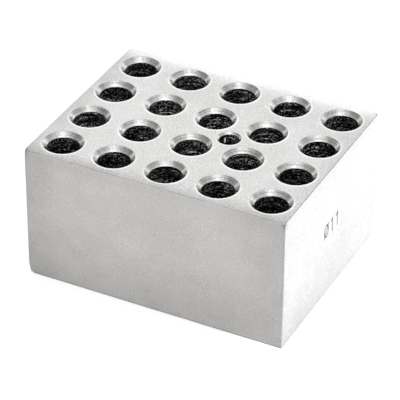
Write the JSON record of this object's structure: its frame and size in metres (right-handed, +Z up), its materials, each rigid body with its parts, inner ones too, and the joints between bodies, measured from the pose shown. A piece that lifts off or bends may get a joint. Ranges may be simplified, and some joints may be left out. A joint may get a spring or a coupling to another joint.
{
  "type": "dry block heater heating block",
  "caption": "Interchangeable aluminium heating block for a dry block heater, with rows of countersunk wells for microcentrifuge tubes and a thermometer well.",
  "frame": {"origin": "centre of the underside", "axes": "+X along the length, the rows of five wells; +Y towards the back; +Z up, out of the wells; the engraved size mark is on the +X face"},
  "size_m": [0.0952, 0.0742, 0.0495],
  "materials": {
    "block": "machined satin, bead-blasted faces and turned wells"
  },
  "bodies": {
    "root": {"heating_block": "block"}
  },
  "joints": []
}
